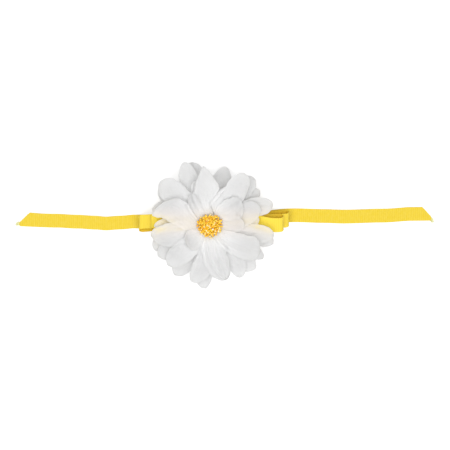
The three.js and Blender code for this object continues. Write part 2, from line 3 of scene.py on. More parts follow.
import bpy
import numpy as np
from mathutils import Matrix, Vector


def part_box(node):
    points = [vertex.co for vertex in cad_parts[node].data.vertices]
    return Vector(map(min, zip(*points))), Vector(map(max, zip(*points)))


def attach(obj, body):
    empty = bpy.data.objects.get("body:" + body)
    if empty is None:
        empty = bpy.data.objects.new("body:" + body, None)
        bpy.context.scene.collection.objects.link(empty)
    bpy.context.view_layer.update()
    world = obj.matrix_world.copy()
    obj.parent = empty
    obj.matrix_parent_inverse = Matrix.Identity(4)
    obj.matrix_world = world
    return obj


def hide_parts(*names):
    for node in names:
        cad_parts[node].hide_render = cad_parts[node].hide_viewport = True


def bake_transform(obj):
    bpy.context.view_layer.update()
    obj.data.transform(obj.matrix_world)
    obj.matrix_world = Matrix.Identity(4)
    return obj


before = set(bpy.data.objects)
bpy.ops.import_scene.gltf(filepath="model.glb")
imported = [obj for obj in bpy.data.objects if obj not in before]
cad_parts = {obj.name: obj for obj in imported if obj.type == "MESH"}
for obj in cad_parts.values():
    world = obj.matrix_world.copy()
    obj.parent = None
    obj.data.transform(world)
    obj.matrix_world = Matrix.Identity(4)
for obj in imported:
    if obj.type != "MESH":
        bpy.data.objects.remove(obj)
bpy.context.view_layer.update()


# Camera, ground and light. The clip lies on a plain white ground and is seen from nearly straight
# above, a little from its far side, under light from all around and a broad lamp overhead.

felt_low, felt_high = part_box("felt_disc")
flower = (felt_low + felt_high) / 2
view_tilt = math.radians(8)
view_distance = 1.0
view_width = 0.3305
view_aside = 0.0109
view_below = 0.0029
view_middle = Vector((flower.x + view_aside, flower.y - view_below, 0))
view_back = Vector((0, math.sin(view_tilt), math.cos(view_tilt)))

ground_size = 4
ground_drop = 0.0001
ground_grey = (0.62, 0.62, 0.62, 1)
ground_glow = 0.52
bounce_dimming = 0.6
sky_light = 0.50
lamp_size = 1.6
lamp_distance = 1.3
lamp_power = 20.0
lamp_lean = math.radians(-3)


class Wire:
    """The value on one socket. Sums and products of wires add Math nodes to their material."""

    def __init__(self, finish, socket):
        self.finish = finish
        self.socket = socket

    def maths(self, operation, *values):
        return self.finish.node("Math", {"operation": operation}, dict(enumerate(values)))

    def __add__(self, other):
        return self.maths("ADD", self, other)

    def __sub__(self, other):
        return self.maths("SUBTRACT", self, other)

    def __rsub__(self, other):
        return self.maths("SUBTRACT", other, self)

    def __mul__(self, other):
        return self.maths("MULTIPLY", self, other)

    def __abs__(self):
        return self.maths("ABSOLUTE", self)

    __radd__ = __add__
    __rmul__ = __mul__

    def sine(self):
        return self.maths("SINE", self)

    def beside(self, output):
        """Another output of the same node."""
        return Wire(self.finish, self.socket.node.outputs[output])


class Finish:
    """A procedural material, made of nodes that the node method adds one at a time."""

    def __init__(self, name, tree=None):
        if tree is None:
            self.material = bpy.data.materials.new(name)
            self.material.use_nodes = True
            tree = self.material.node_tree
        self.tree = tree
        self.surface = tree.nodes.get("Principled BSDF")

    def join(self, socket, value):
        if isinstance(value, Wire):
            self.tree.links.new(value.socket, socket)
        else:
            socket.default_value = value

    def node(self, kind, settings, inputs, output=0):
        made = self.tree.nodes.new("ShaderNode" + kind)
        stops = settings.pop("stops", None)
        for key, value in settings.items():
            setattr(made, key, value)
        if stops:
            ramp = made.color_ramp.elements
            while len(ramp) < len(stops):
                ramp.new(1)
            for element, (place, colour) in zip(ramp, stops):
                element.position = place
                element.color = colour
        for place, value in inputs.items():
            self.join(made.inputs[place], value)
        return Wire(self, made.outputs[output])

    def tinted(self, colour, *tints):
        """A colour with tints laid over it one after the other, each given with its share."""
        for share, tint in tints:
            colour = self.node("Mix", {"data_type": "RGBA"}, {0: share, 6: colour, 7: tint}, output=2)
        return colour

    def noise(self, place, scale, detail=2.0):
        """Noise at one scale, or at a scale of its own along each axis."""
        if isinstance(scale, tuple):
            place = self.node("VectorMath", {"operation": "MULTIPLY"}, {0: place, 1: scale})
            scale = 1.0
        return self.node("TexNoise", {}, {"Vector": place, "Scale": scale, "Detail": detail})

    def attribute(self, name, output="Fac"):
        return self.node("Attribute", {"attribute_name": name}, {}, output)

    def ramp(self, value, low, high):
        return self.node("MapRange", {}, {0: value, 1: low, 2: high})

    def here(self):
        return self.node("TexCoord", {}, {}, output="Object")

    def axes(self, vector):
        """The X, Y and Z of a vector."""
        x = self.node("SeparateXYZ", {}, {0: vector})
        return x, x.beside(1), x.beside(2)

    def bump(self, height, distance, strength):
        made = self.node("Bump", {}, {"Height": height, "Distance": distance, "Strength": strength})
        self.join(self.surface.inputs["Normal"], made)
        return made

    def shade(self, **sockets):
        for name, value in sockets.items():
            self.join(self.surface.inputs[name.replace("_", " ")], value)

    def plain(self):
        """The main shader's own light, before anything is mixed with it."""
        return Wire(self, self.surface.outputs["BSDF"])

    def end_with(self, shader):
        self.join(self.tree.nodes["Material Output"].inputs["Surface"], shader)

    def see_through(self, share, colour, normal):
        """Lets this share of the light through to the far side, as thin cloth does."""
        through = self.node("BsdfTranslucent", {}, {"Color": colour, "Normal": normal})
        self.end_with(self.node("MixShader", {}, {0: share, 1: self.plain(), 2: through}))


bpy.ops.object.camera_add(location=view_middle + view_back * view_distance, rotation=(-view_tilt, 0, 0))
camera = bpy.context.object
camera.data.lens = camera.data.sensor_width * view_distance / view_width
camera.data.clip_end = 10
bpy.context.scene.camera = camera

white = Finish("ground")
white.shade(Base_Color=ground_grey, Roughness=1.0, Specular_IOR_Level=0.0)
camera_rays = white.node("LightPath", {}, {}, output="Is Camera Ray")
clear_rays = camera_rays + camera_rays.beside("Is Glossy Ray") + camera_rays.beside("Is Transmission Ray")
soft_rays = camera_rays.beside("Is Diffuse Ray")
glow = white.node("Emission", {}, {"Color": (1, 1, 1, 1), "Strength": ground_glow})
brighter = white.node("AddShader", {}, {0: white.plain(), 1: glow})
seen = white.ramp(clear_rays - soft_rays * bounce_dimming, 0.0, 1.0)
white.end_with(white.node("MixShader", {}, {0: seen, 1: white.plain(), 2: brighter}))

bpy.ops.mesh.primitive_plane_add(size=ground_size, location=(0, 0, -ground_drop))
ground = bpy.context.object
ground.name = "ground"
ground.data.materials.append(white.material)

world = bpy.data.worlds.new("soft sky")
world.use_nodes = True
bpy.context.scene.world = world
sky = Finish("sky", world.node_tree)
sky_rays = sky.node("LightPath", {}, {}, output="Is Camera Ray")
background = world.node_tree.nodes["Background"]
sky.join(background.inputs["Strength"], sky_rays * (1 - sky_light) + sky_light)
sky.join(background.inputs["Color"], (1, 1, 1, 1))

lamp_back = Vector((0, math.sin(lamp_lean), math.cos(lamp_lean)))
bpy.ops.object.light_add(type="AREA", location=lamp_back * lamp_distance, rotation=(-lamp_lean, 0, 0))
lamp = bpy.context.object
lamp.data.size = lamp_size
lamp.data.energy = lamp_power
lamp.visible_camera = False

bpy.context.scene.view_settings.view_transform = "Standard"


# Clip jaws and hinge pin. An alligator clip pressed from nickel plated sheet steel: the two jaws
# turn on a pin with upset heads, and tumbling after pressing has broken all their edges.

edge_round = 0.00012
pin_edge_round = 0.0002
merge_distance = 0.000002
same_plane = math.radians(1)
sharp_edge = math.radians(40)
steel_dark = (0.62, 0.62, 0.63, 1)
steel_bright = (0.78, 0.78, 0.78, 1)

steel = Finish("plated_steel")
steel_here = steel.here()
grain = steel.noise(steel_here, (400.0, 4000.0, 1500.0), detail=3.0)
clouds = steel.noise(steel_here, scale=180.0, detail=3.0)
steel.shade(
    Base_Color=steel.tinted(steel_dark, (clouds, steel_bright)),
    Metallic=1.0,
    Roughness=steel.ramp(grain, 0.2, 0.9) * 0.22 + 0.2,
)
steel.bump(grain, distance=0.00002, strength=0.5)


def added(name, data):
    """A new object with this mesh or curve, the only one selected."""
    piece = bpy.data.objects.new(name, data)
    bpy.context.collection.objects.link(piece)
    bpy.ops.object.select_all(action="DESELECT")
    piece.select_set(True)
    bpy.context.view_layer.objects.active = piece
    return piece


def finished(piece, finish, body, node):
    """Gives a piece its finish and says which body it rides on and which solid it stands for."""
    piece.data.materials.clear()
    piece.data.materials.append(finish.material)
    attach(piece, body)
    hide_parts(node)


def mode(name):
    bpy.ops.object.mode_set(mode=name)


def edit_all():
    """Opens the active object's mesh for editing, with all of it selected."""
    mode("EDIT")
    bpy.ops.mesh.select_all(action="SELECT")


def modify(piece, kind, **settings):
    """Adds a modifier to the active piece and applies it."""
    modifier = piece.modifiers.new(kind, kind)
    for key, value in settings.items():
        setattr(modifier, key, value)
    bpy.ops.object.modifier_apply(modifier=modifier.name)


def smooth(degrees):
    """Shades the active piece smooth, but for edges that are sharper than this."""
    bpy.ops.object.shade_smooth_by_angle(angle=math.radians(degrees))


def broken_edges(node, rounding, body):
    """A copy of a CAD solid with all its sharp edges rounded over."""
    piece = added(node + "_steel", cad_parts[node].data.copy())
    edit_all()
    bpy.ops.mesh.remove_doubles(threshold=merge_distance)
    bpy.ops.mesh.dissolve_limited(angle_limit=same_plane)
    mode("OBJECT")
    modify(piece, "BEVEL", width=rounding, segments=3, limit_method="ANGLE", angle_limit=sharp_edge)
    smooth(35)
    finished(piece, steel, body, node)


broken_edges("clip_upper_jaw", edge_round, "bow_and_upper_jaw")
broken_edges("clip_lower_jaw", edge_round, "lower_jaw")
broken_edges("hinge_pin", pin_edge_round, "bow_and_upper_jaw")


# Torsion spring. Two and a half turns of hard drawn wire on the pin, whose two straight legs lie
# under the upper lever and on the lower one and push them apart.

pin_low, pin_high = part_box("hinge_pin")
pin = (pin_low + pin_high) / 2
jaw_low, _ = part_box("clip_lower_jaw")
sheet = 0.0008
wire_radius = 0.0003
coil_radius = 0.0015
coil_pitch = 0.0011
coil_turns = 2.5
steps_per_turn = 32
lever_bend = 0.002
upper_leg = 0.010
lower_leg = 0.009
leg_gap = 0.0003
pivot_drop = 0.0027
plate_drop = 0.0022
plate_top = pin.z - plate_drop
lever_reach = pin.x - jaw_low.x
lever_fall = math.atan2(plate_top - sheet - jaw_low.z, lever_reach - lever_bend)
lever_top = jaw_low.z + sheet / math.cos(lever_fall)
leg_share = (lever_reach - lower_leg) / (lever_reach - lever_bend)
lower_leg_z = lever_top + (plate_top - lever_top) * leg_share + (wire_radius + leg_gap) / math.cos(lever_fall)


def rounded_corner(before, corner, after, radius, steps=6):
    """The points of a soft bend that replaces a corner of a wire."""
    start = corner + (before - corner).normalized() * radius
    end = corner + (after - corner).normalized() * radius
    shares = [step / steps for step in range(steps + 1)]
    return [start * (1 - s) ** 2 + corner * 2 * s * (1 - s) + end * s ** 2 for s in shares]


coil_half = coil_pitch * coil_turns / 2
coil_steps = round(coil_turns * steps_per_turn)
coil = []
for step in range(coil_steps + 1):
    turn = -math.pi / 2 + step / steps_per_turn * math.tau
    along = coil_half * (2 * step / coil_steps - 1)
    coil.append(pin + Vector((math.cos(turn) * coil_radius, along, math.sin(turn) * coil_radius)))
low_end = Vector((pin.x - lower_leg, pin.y - coil_half, lower_leg_z))
low_bend = pin + Vector((-lever_bend, -coil_half, -coil_radius))
high_end = pin + Vector((-upper_leg, coil_half, pivot_drop - wire_radius - leg_gap))
high_bend = pin + Vector((-lever_bend, coil_half, coil_radius))
low_corner = rounded_corner(low_end, low_bend, coil[0], lever_bend / 2)
high_corner = rounded_corner(coil[-1], high_bend, high_end, lever_bend / 2)
spring_points = [low_end] + low_corner + coil + high_corner + [high_end]

spring_curve = bpy.data.curves.new("torsion_spring_wire", "CURVE")
spring_curve.dimensions = "3D"
spring_curve.bevel_depth = wire_radius
spring_curve.bevel_resolution = 3
spring_curve.use_fill_caps = True
spline = spring_curve.splines.new("POLY")
spline.points.add(len(spring_points) - 1)
for place, point in zip(spline.points, spring_points):
    place.co = (*point, 1)
added("torsion_spring_wire", spring_curve)
bpy.ops.object.convert(target="MESH")
spring = bpy.context.object
bpy.ops.object.shade_smooth()
spring.data.materials.clear()
spring.data.materials.append(steel.material)
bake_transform(spring)
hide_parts("torsion_spring")


# Ribbon tails. One length of 10 mm yellow grosgrain lies across the clip, drapes over both its
# ends and runs flat on the ground; each end is cut at a slant and frays a little.

jaw_top_low, jaw_top_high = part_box("clip_upper_jaw")
tails_low, tails_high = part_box("ribbon_tails")
wrap_low, wrap_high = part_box("centre_wrap")
ribbon_width = 0.0102
ribbon_thickness = 0.00042
solid_thickness = 0.0005
ribbon_step = 0.0009
ribbon_columns = np.array([-1, -0.985, -0.94, -0.8, -0.6, -0.3, 0, 0.3, 0.6, 0.8, 0.94, 0.985, 1])
selvage_start = 0.9
selvage_run = 0.11
bow_y = (jaw_top_low.y + jaw_top_high.y) / 2
waist_half = (wrap_high.x - wrap_low.x) / 2
tail_top = tails_high.z - solid_thickness / 2
tail_rest = solid_thickness / 2
drape_gap = 0.0003
drape_start = jaw_top_high.x - flower.x + drape_gap
drape_length = 0.034
lying_start = drape_start + drape_length
tail_wave = 0.0005
wave_end = 0.82
tail_dish = 0.00022
dish_change = 0.00018
dish_run = 0.02
right_reach = tails_high.x - flower.x
left_reach = flower.x - tails_low.x
right_trim = 0.0095
left_trim = 0.0109
trim_run = 0.03
frayed_share = 0.35
frayed_corner = 0.5
long_ripple = (0.5, 95, 1.2)
short_ripple = (0.3, 223, 0.4)
right_drift_shares = [
    (0, 0), (0.18, 0.11), (0.36, 0.22), (0.49, 0.17), (0.58, 0.13), (0.76, 0.20), (0.90, 0.32), (1, 0.33),
]
left_drift_shares = [
    (0, 0), (0.21, -0.09), (0.36, -0.23), (0.44, -0.31), (0.52, -0.37), (0.57, -0.31), (0.67, -0.24),
    (0.78, -0.17), (1, -0.08),
]
to_millimetres = 1000
rib_pitch = 1.55
selvage_band = (4.35, 4.6)
thread_pitch = 0.3
ribbon_yellow = (0.835, 0.62, 0.018, 1)
ribbon_shadow = (0.75, 0.52, 0.006, 1)
ribbon_pale = (0.88, 0.70, 0.12, 1)
# Painted shade and painted light on the bow loops: a deeper orange painted shade for their inner faces, a
# paler painted light for their outer faces.
painted_loop_inside_shade = (0.80, 0.50, 0.002, 1)
painted_loop_outside_light = (0.97, 0.75, 0.06, 1)

grosgrain = Finish("yellow_grosgrain")
ribbon_map = grosgrain.node("UVMap", {"uv_map": "ribbon"}, {})
along_ribbon, across_ribbon, _ = grosgrain.axes(ribbon_map)
straying = grosgrain.noise(ribbon_map, (0.25, 0.08, 0))
rib = ((along_ribbon + straying * 0.5) * (math.tau / rib_pitch)).sine() * 0.5 + 0.5
thread = (across_ribbon * (math.tau / thread_pitch)).sine() * 0.5 + 0.5
selvage = grosgrain.ramp(abs(across_ribbon), *selvage_band)
weave = rib * (1 - selvage * 0.5) + thread * 0.25 * rib
mottle = grosgrain.noise(ribbon_map, (0.6, 0.35, 0), detail=3.0)
# The fold attribute tells each loop's inner faces from its outer ones, for that painted shade and painted
# light.
fold = grosgrain.attribute("fold")
grosgrain.shade(
    Base_Color=grosgrain.tinted(
        ribbon_shadow,
        (rib * 0.55 + 0.45, ribbon_yellow),
        (grosgrain.ramp(mottle, 0.35, 0.8) * 0.35, ribbon_pale),
        # painted shade on the loops' inner faces, painted light on their outer faces
        (grosgrain.ramp(fold, 0.0, 1.0) * 0.7, painted_loop_inside_shade),
        (grosgrain.ramp(fold, 0.0, -1.0) * 0.7, painted_loop_outside_light)),
    Roughness=0.72 - rib * 0.12,
    Specular_IOR_Level=0.5,
    Sheen_Weight=0.2,
    Sheen_Roughness=0.5,
    Sheen_Tint=(1.0, 0.9, 0.55, 1),
)
ribbon_normal = grosgrain.bump(weave, distance=0.00012, strength=0.8)
grosgrain.see_through(0.12, ribbon_yellow, ribbon_normal)


def unit(value):
    """The value, kept between 0 and 1."""
    return np.clip(value, 0, 1)


def ease(share):
    """A soft step from 0 to 1."""
    return (1 - np.cos(np.pi * unit(share))) / 2


def wave(kind, along, number=1, shift=0):
    """A wave, from its height, its run and what a piece's number adds to its phase."""
    height, run, phase = kind
    return height * np.sin(along * run + number * phase + shift)


def drift(x):
    """How far the ribbon's middle line strays along Y at a distance from the waist."""
    out = np.empty_like(x)
    sides = ((x > 0, right_drift_shares, right_reach), (x <= 0, left_drift_shares, left_reach))
    for side, table, reach in sides:
        along = unit((np.abs(x[side]) - waist_half) / (reach - waist_half))
        places, strays = np.array(table, float).T
        following = np.clip(np.searchsorted(places, along), 1, len(places) - 1)
        low, high = places[following - 1], places[following]
        share = ease((along - low) / (high - low))
        out[side] = strays[following - 1] + (strays[following] - strays[following - 1]) * share
    return out * ribbon_width


def tail_height(x):
    """The tails leave the clip's flat top, drape over its ends and lie on the ground."""
    fallen = ease((np.abs(x) - drape_start) / drape_length)
    reach = np.where(x > 0, right_reach, left_reach)
    lying = (np.abs(x) - lying_start) / (reach - lying_start)
    swell = tail_wave * np.sin(np.pi * unit(lying / wave_end)) ** 2
    return tail_top + (tail_rest - tail_top) * fallen + swell


def on_bow(x, y, z):
    """Places measured from the flower's axis and the bow's middle line, in the frame."""
    return np.stack([x + flower.x, y + bow_y, z], axis=1)


def cut_slant(across):
    """The share of a tail's trim that is cut away at a place across it, more at its frayed corner."""
    return (across + 1) / 2 + frayed_share * unit(-frayed_corner - across) / frayed_corner


def quads(grid):
    """The four corners of every face between neighbours in a grid of points or of their numbers."""
    corners = [grid[:-1, :-1], grid[:-1, 1:], grid[1:, 1:], grid[1:, :-1]]
    return np.stack(corners, axis=2).reshape(-1, 4, *grid.shape[2:])


def outward():
    """Turns every face of the active object outwards."""
    edit_all()
    bpy.ops.mesh.normals_make_consistent()
    mode("OBJECT")


def woven_strip(node, centres, across, closed, trims=None, camber=0.0, folded=False):
    """A strip of ribbon along a line of centres, with thin edges and a slightly dished face: the
    piece, its middle surface and its length."""
    count = len(centres)
    if closed:
        along = np.roll(centres, -1, 0) - np.roll(centres, 1, 0)
    else:
        along = np.gradient(centres, axis=0)
    along /= np.linalg.norm(along, axis=1)[:, None]
    out = np.cross(along, across)
    out /= np.linalg.norm(out, axis=1)[:, None]
    thinning = unit((np.abs(ribbon_columns) - selvage_start) / selvage_run)
    half = ribbon_thickness / 2 * np.sqrt(1 - thinning ** 2)
    dish = np.asarray(camber).reshape(-1, 1) * ribbon_columns ** 2
    flat = centres[:, None] + np.outer(ribbon_columns * ribbon_width / 2, across)
    flat = flat + out[:, None] * dish[:, :, None]
    back = np.zeros(flat.shape[:2])
    if trims is not None:
        back = trims[:, None] * cut_slant(ribbon_columns)
        flat = flat - along[:, None] * back[:, :, None]
    top = flat + out[:, None] * half[:, None]
    under = flat - out[:, None] * half[:, None]
    rings = np.concatenate([top, under[:, ::-1]], axis=1)

    places = np.arange(count + 1 if closed else count)
    steps = np.linalg.norm(np.diff(centres, axis=0, append=centres[:1]), axis=1)
    run = np.concatenate([[0], np.cumsum(steps)])[places]
    side = np.concatenate([ribbon_columns, ribbon_columns[::-1]]) * ribbon_width / 2
    set_back = np.concatenate([back, back[:, ::-1]], axis=1)[places % count]
    cut = np.stack([run[:, None] - set_back, np.tile(side, (len(places), 1))], axis=2)
    numbers = np.arange(count * len(side)).reshape(count, -1)[places % count]
    round_cut, round_numbers = (np.concatenate([grid, grid[:, :1]], axis=1) for grid in (cut, numbers))
    faces = quads(round_numbers).tolist()
    uvs = quads(round_cut).reshape(-1, 2)
    if not closed:
        faces += [numbers[0].tolist(), numbers[-1, ::-1].tolist()]
        uvs = np.concatenate([uvs, cut[0], cut[-1, ::-1]])

    mesh = bpy.data.meshes.new(node + "_grosgrain")
    mesh.from_pydata(rings.reshape(-1, 3).tolist(), [], faces)
    mesh.uv_layers.new(name="ribbon").data.foreach_set("uv", (uvs * to_millimetres).ravel())
    # Loop strips mark the faces inside their loops with 1 and those outside with -1, for the loops' painted
    # shade and painted light.
    painted_loop_shade_sides = np.tile(np.repeat([1.0, -1.0], len(ribbon_columns)), count) * (1 if folded else 0)
    mesh.attributes.new("fold", "FLOAT", "POINT").data.foreach_set("value", painted_loop_shade_sides)
    piece = added(node + "_grosgrain", mesh)
    outward()
    smooth(60)
    finished(piece, grosgrain, "bow_and_upper_jaw", node)
    return piece, flat, float(run[-1])


tail_x = np.append(np.arange(-left_reach, right_reach, ribbon_step), right_reach)
tail_out = np.abs(tail_x)
tail_reaches = np.where(tail_x > 0, right_reach, left_reach)
tail_trims = np.where(tail_x > 0, right_trim, -left_trim)
tail_trims = tail_trims * ease((tail_out - tail_reaches + trim_run) / trim_run)
ripple = wave(long_ripple, tail_x) + wave(short_ripple, tail_x)
tail_camber = ease((tail_out - lying_start) / dish_run) * (tail_dish + dish_change * ripple)
tail_centres = on_bow(tail_x, drift(tail_x), tail_height(tail_x))
ribbon_tails, tails_flat, tails_length = woven_strip(
    "ribbon_tails", tail_centres, (0.0, 1.0, 0.0), False, tail_trims, tail_camber)

fray_radius = 0.00013
fray_length = 0.003
fray_count = 26
fray_segments = ((1, 0.00003), (1, 0.0001), (0.8, 0.0002))
fray_hold = 0.0006
fray_edge = 0.99
tip_share = 0.7
tip_run = 0.85
rest_start = 0.4
rest_run = 4.0
left_lean = (-8, 14)
right_lean = (-42, 9)
rest_lean = 30
rest_swing = 25
tip_stretch = 1.35
tip_shortening = 1.2
tip_spread = 0.25
rest_stretch = 0.3
rest_spread = 0.08
fray_height = 1.9
fray_rise = 0.6
facing = 0.9
thread_dark = (0.62, 0.60, 0.18, 1)
thread_pale = (0.84, 0.82, 0.44, 1)

thread_finish = Finish("frayed_thread")
thread_grain = thread_finish.noise(thread_finish.here(), scale=900.0)
thread_finish.shade(
    Base_Color=thread_finish.tinted(thread_dark, (thread_grain, thread_pale)),
    Roughness=0.85,
    Specular_IOR_Level=0.3,
)


def round_bar(vertices, radius, depth, location, rotation=(0, 0, 0)):
    """A cylinder that stays at the origin and has its place in its mesh."""
    bpy.ops.mesh.primitive_cylinder_add(
        vertices=vertices, radius=radius, depth=depth, location=location, rotation=rotation)
    bpy.ops.object.transform_apply()
    return bpy.context.object


def pick_faces(piece, wanted):
    """In edit mode, selects only the faces whose normal is wanted."""
    bpy.ops.mesh.select_all(action="DESELECT")
    mode("OBJECT")
    for face in piece.data.polygons:
        face.select = wanted(face.normal)
    mode("EDIT")


def extrude(by):
    """Extrudes the selected faces by a distance along each axis."""
    bpy.ops.mesh.extrude_region_move(TRANSFORM_OT_translate={"value": by})


def another(piece):
    """A copy with its own mesh."""
    copy = piece.copy()
    copy.data = piece.data.copy()
    bpy.context.collection.objects.link(copy)
    return copy


def join_to(first, others):
    """Joins the others to the first piece."""
    bpy.ops.object.select_all(action="DESELECT")
    for piece in (first, *others):
        piece.select_set(True)
    bpy.context.view_layer.objects.active = first
    bpy.ops.object.join()


fray = round_bar(6, fray_radius, fray_length / 4, (fray_length / 8, 0, 0), (0, math.pi / 2, 0))
mode("EDIT")
pick_faces(fray, lambda normal: normal.x > facing)
for width, aside in fray_segments:
    extrude((fray_length / 4, aside, 0))
    bpy.ops.transform.resize(value=(1, width, width))
mode("OBJECT")
bpy.ops.object.shade_smooth()

fray_strands = []
fray_chance = np.random.default_rng(seed=3)
for place in range(2 * fray_count):
    side = 1 if place % 2 else -1
    end, end_trim = (tail_centres[-1], right_trim) if side > 0 else (tail_centres[0], left_trim)
    share = (place // 2 + 0.5) / fray_count
    length, turn, swing, rise = fray_chance.uniform(-1, 1, 4)
    if share < tip_share:
        across_share = tip_run * share - fray_edge
        usual, spread = left_lean if side < 0 else right_lean
        lean = usual + spread * turn
        stretch = tip_stretch - tip_shortening * share + tip_spread * length
    else:
        across_share = rest_run * (share - tip_share) - rest_start
        lean = rest_swing * swing - rest_lean * side
        stretch = rest_stretch + rest_spread * length
    strand = another(fray)
    strand.location = (
        end[0] - side * (end_trim * cut_slant(across_share) + fray_hold),
        end[1] + across_share * (ribbon_width / 2 - fray_radius),
        fray_radius * (fray_height + fray_rise * rise))
    strand.rotation_euler = (0, 0, math.radians(lean) + (0 if side > 0 else math.pi))
    strand.scale = (stretch, swing / abs(swing), 1)
    fray_strands.append(strand)
bpy.data.objects.remove(fray)
tail_fray = fray_strands[0]
join_to(tail_fray, fray_strands[1:])
bpy.ops.object.transform_apply()
outward()
tail_fray.name = "ribbon_tails_fray"
tail_fray.data.materials.append(thread_finish.material)
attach(tail_fray, "bow_and_upper_jaw")
ribbon_width * tails_length - ribbon_width * (right_trim + left_trim) / 2


# Bow loops. Two rings of the same ribbon are pinched flat at the waist and stacked on the tails,
# the longer one below, so that each side opens into two nested loops that lean and gape a little.

leaf_pitch = 0.0008
outer_lift = 0.003
inner_lift = 0.0003
loop_dish = -0.00018
loop_dish_run = 0.01
bend_steps = 18
outer_right = {"reach": 0.0575, "open": 0.0045, "lower_lean": -0.0006, "upper_lean": -0.0025}
outer_left = {"reach": 0.0518, "open": 0.0045, "lower_lean": -0.0021, "upper_lean": 0.0012}
inner_right = {"reach": 0.0533, "open": 0.0044, "lower_lean": -0.0023, "upper_lean": -0.0045}
inner_left = {"reach": 0.0427, "open": 0.002, "lower_lean": 0.0002, "upper_lean": 0.0018}


def lobe_radius(lobe):
    return (leaf_pitch + lobe["open"]) / 2


def lobe_centre(lobe):
    return lobe["reach"] - solid_thickness / 2 - lobe_radius(lobe)


def opened(x, lobe):
    """How far a loop has opened at a place, from 0 over the clip to 1 at its end."""
    return ease((np.abs(x) - drape_start) / (lobe_centre(lobe) - drape_start))


def loop_side(side, lobe, lower, upper):
    """One side of a ring: out along its lower leaf, round the end and back along the upper one."""
    centre, radius = lobe_centre(lobe), lobe_radius(lobe)
    out = np.arange(0, centre, ribbon_step) * side
    back = out[::-1]
    bend = np.linspace(0, np.pi, bend_steps)
    bend_x = (centre + radius * np.sin(bend)) * side
    bend_z = lower(np.array([centre * side]))[0] + radius * (1 - np.cos(bend))
    bend_lean = lobe["lower_lean"] + (lobe["upper_lean"] - lobe["lower_lean"]) * ease(bend / np.pi)
    x = np.concatenate([out, bend_x, back])
    z = np.concatenate([lower(out), bend_z, upper(back)])
    lean = np.concatenate([
        opened(out, lobe) * lobe["lower_lean"], bend_lean, opened(back, lobe) * lobe["upper_lean"]])
    return np.stack([x, drift(x) + lean, z], axis=1)


def bow_ring(node, right, left, lift, below):
    """A ring on the ribbon whose height is given: its middle surface and its upper leaf's height."""

    def lower(x):
        return below(x) + leaf_pitch + lift * np.where(x > 0, opened(x, right), opened(x, left))

    def upper(x):
        gape = np.where(x > 0, right["open"] * opened(x, right), left["open"] * opened(x, left))
        return lower(x) + leaf_pitch + gape

    right_side = loop_side(1, right, lower, upper)
    left_side = loop_side(-1, left, lower, upper)[::-1]
    ring = np.concatenate([right_side, left_side[1:-1]])
    centres = on_bow(*ring.T)
    camber = loop_dish * ease((np.abs(ring[:, 0]) - drape_start) / loop_dish_run)
    # The ring's faces are marked for the loops' painted shade inside and painted light outside.
    piece, flat, length = woven_strip(node, centres, (0.0, 1.0, 0.0), True, camber=camber, folded=True)
    return flat, upper


outer_flat, outer_upper = bow_ring(
    "bow_outer_loops", outer_right, outer_left, outer_lift, tail_height)
inner_flat, _ = bow_ring(
    "bow_inner_loops", inner_right, inner_left, inner_lift, outer_upper)


# Centre wrap. A short length of the ribbon goes once round the bow's waist and the upper jaw, and
# its end is glued down on itself under the felt.

wrap_centre_y = (wrap_low.y + wrap_high.y) / 2
wrap_half = (wrap_high.y - wrap_low.y - solid_thickness) / 2
wrap_bottom = wrap_low.z + solid_thickness / 2
wrap_top = wrap_high.z - solid_thickness / 2
wrap_corner = 0.00095
corner_steps = 8
wrap_turns = []
for quarter in range(4):
    corner_y = wrap_centre_y + (wrap_half - wrap_corner) * (1 if quarter < 2 else -1)
    corner_z = wrap_top - wrap_corner if quarter in (1, 2) else wrap_bottom + wrap_corner
    for step in range(corner_steps + 1):
        angle = math.pi / 2 * (quarter - 1 + step / corner_steps)
        y = corner_y + wrap_corner * math.cos(angle)
        wrap_turns.append((y, corner_z + wrap_corner * math.sin(angle)))
wrap_line = []
for place, (y, z) in enumerate(wrap_turns):
    next_y, next_z = wrap_turns[(place + 1) % len(wrap_turns)]
    pieces = max(1, round(math.hypot(next_y - y, next_z - z) / ribbon_step))
    for step in range(pieces):
        share = step / pieces
        wrap_line.append((flower.x, y + (next_y - y) * share, z + (next_z - z) * share))
centre_wrap, _, wrap_length = woven_strip("centre_wrap", np.array(wrap_line), (-1.0, 0.0, 0.0), True)


# Felt disc. A round of white craft felt, punched from a sheet so that its rim is pressed a little,
# and glued between the bow and the lowest petals.

felt_radius = (felt_high.x - felt_low.x) / 2
felt_thickness = felt_high.z - felt_low.z
felt_inset = 0.0006
felt_rim = 0.00035
felt_grey = (0.72, 0.71, 0.68, 1)
felt_white = (0.90, 0.89, 0.87, 1)

felt = Finish("white_felt")
felt_here = felt.here()
fibres = felt.noise(felt_here, (2600.0, 2600.0, 900.0), detail=5.0)
lumps = felt.noise(felt_here, scale=420.0, detail=3.0)
felt.shade(
    Base_Color=felt.tinted(felt_grey, (fibres, felt_white)),
    Roughness=0.96,
    Specular_IOR_Level=0.2,
    Sheen_Weight=0.3,
)
felt.bump(fibres * 0.6 + lumps * 0.8, distance=0.0003, strength=0.9)

felt_disc = round_bar(72, felt_radius, felt_thickness, flower)
felt_disc.name = "felt_disc_round"
edit_all()
bpy.ops.mesh.inset(thickness=felt_inset)
mode("OBJECT")
modify(felt_disc, "BEVEL", width=felt_rim, segments=3)
smooth(50)
finished(felt_disc, felt, "bow_and_upper_jaw", "felt_disc")


# Petal layers. Five die-cut blossoms of thin sized white fabric, eight petals each, threaded on
# the stamen's peg; heat and handling have cupped, pleated and curled every petal differently.

hub_radius = 0.008
hub_hole = 0.0025
hub_gap = 0.0003
hub_bottom = felt_high.z + hub_gap
cloth = 0.0003
layer_pitch = 0.0007
petal_reach = 0.046
petal_width = 0.016
rim_spread = 0.00182
rim_sag = 0.013
sag_fade = 0.21
spread_power = 1.3
root_half_angle = math.radians(21.5)
layer_gap = 0.00015
land_touch = 0.0002


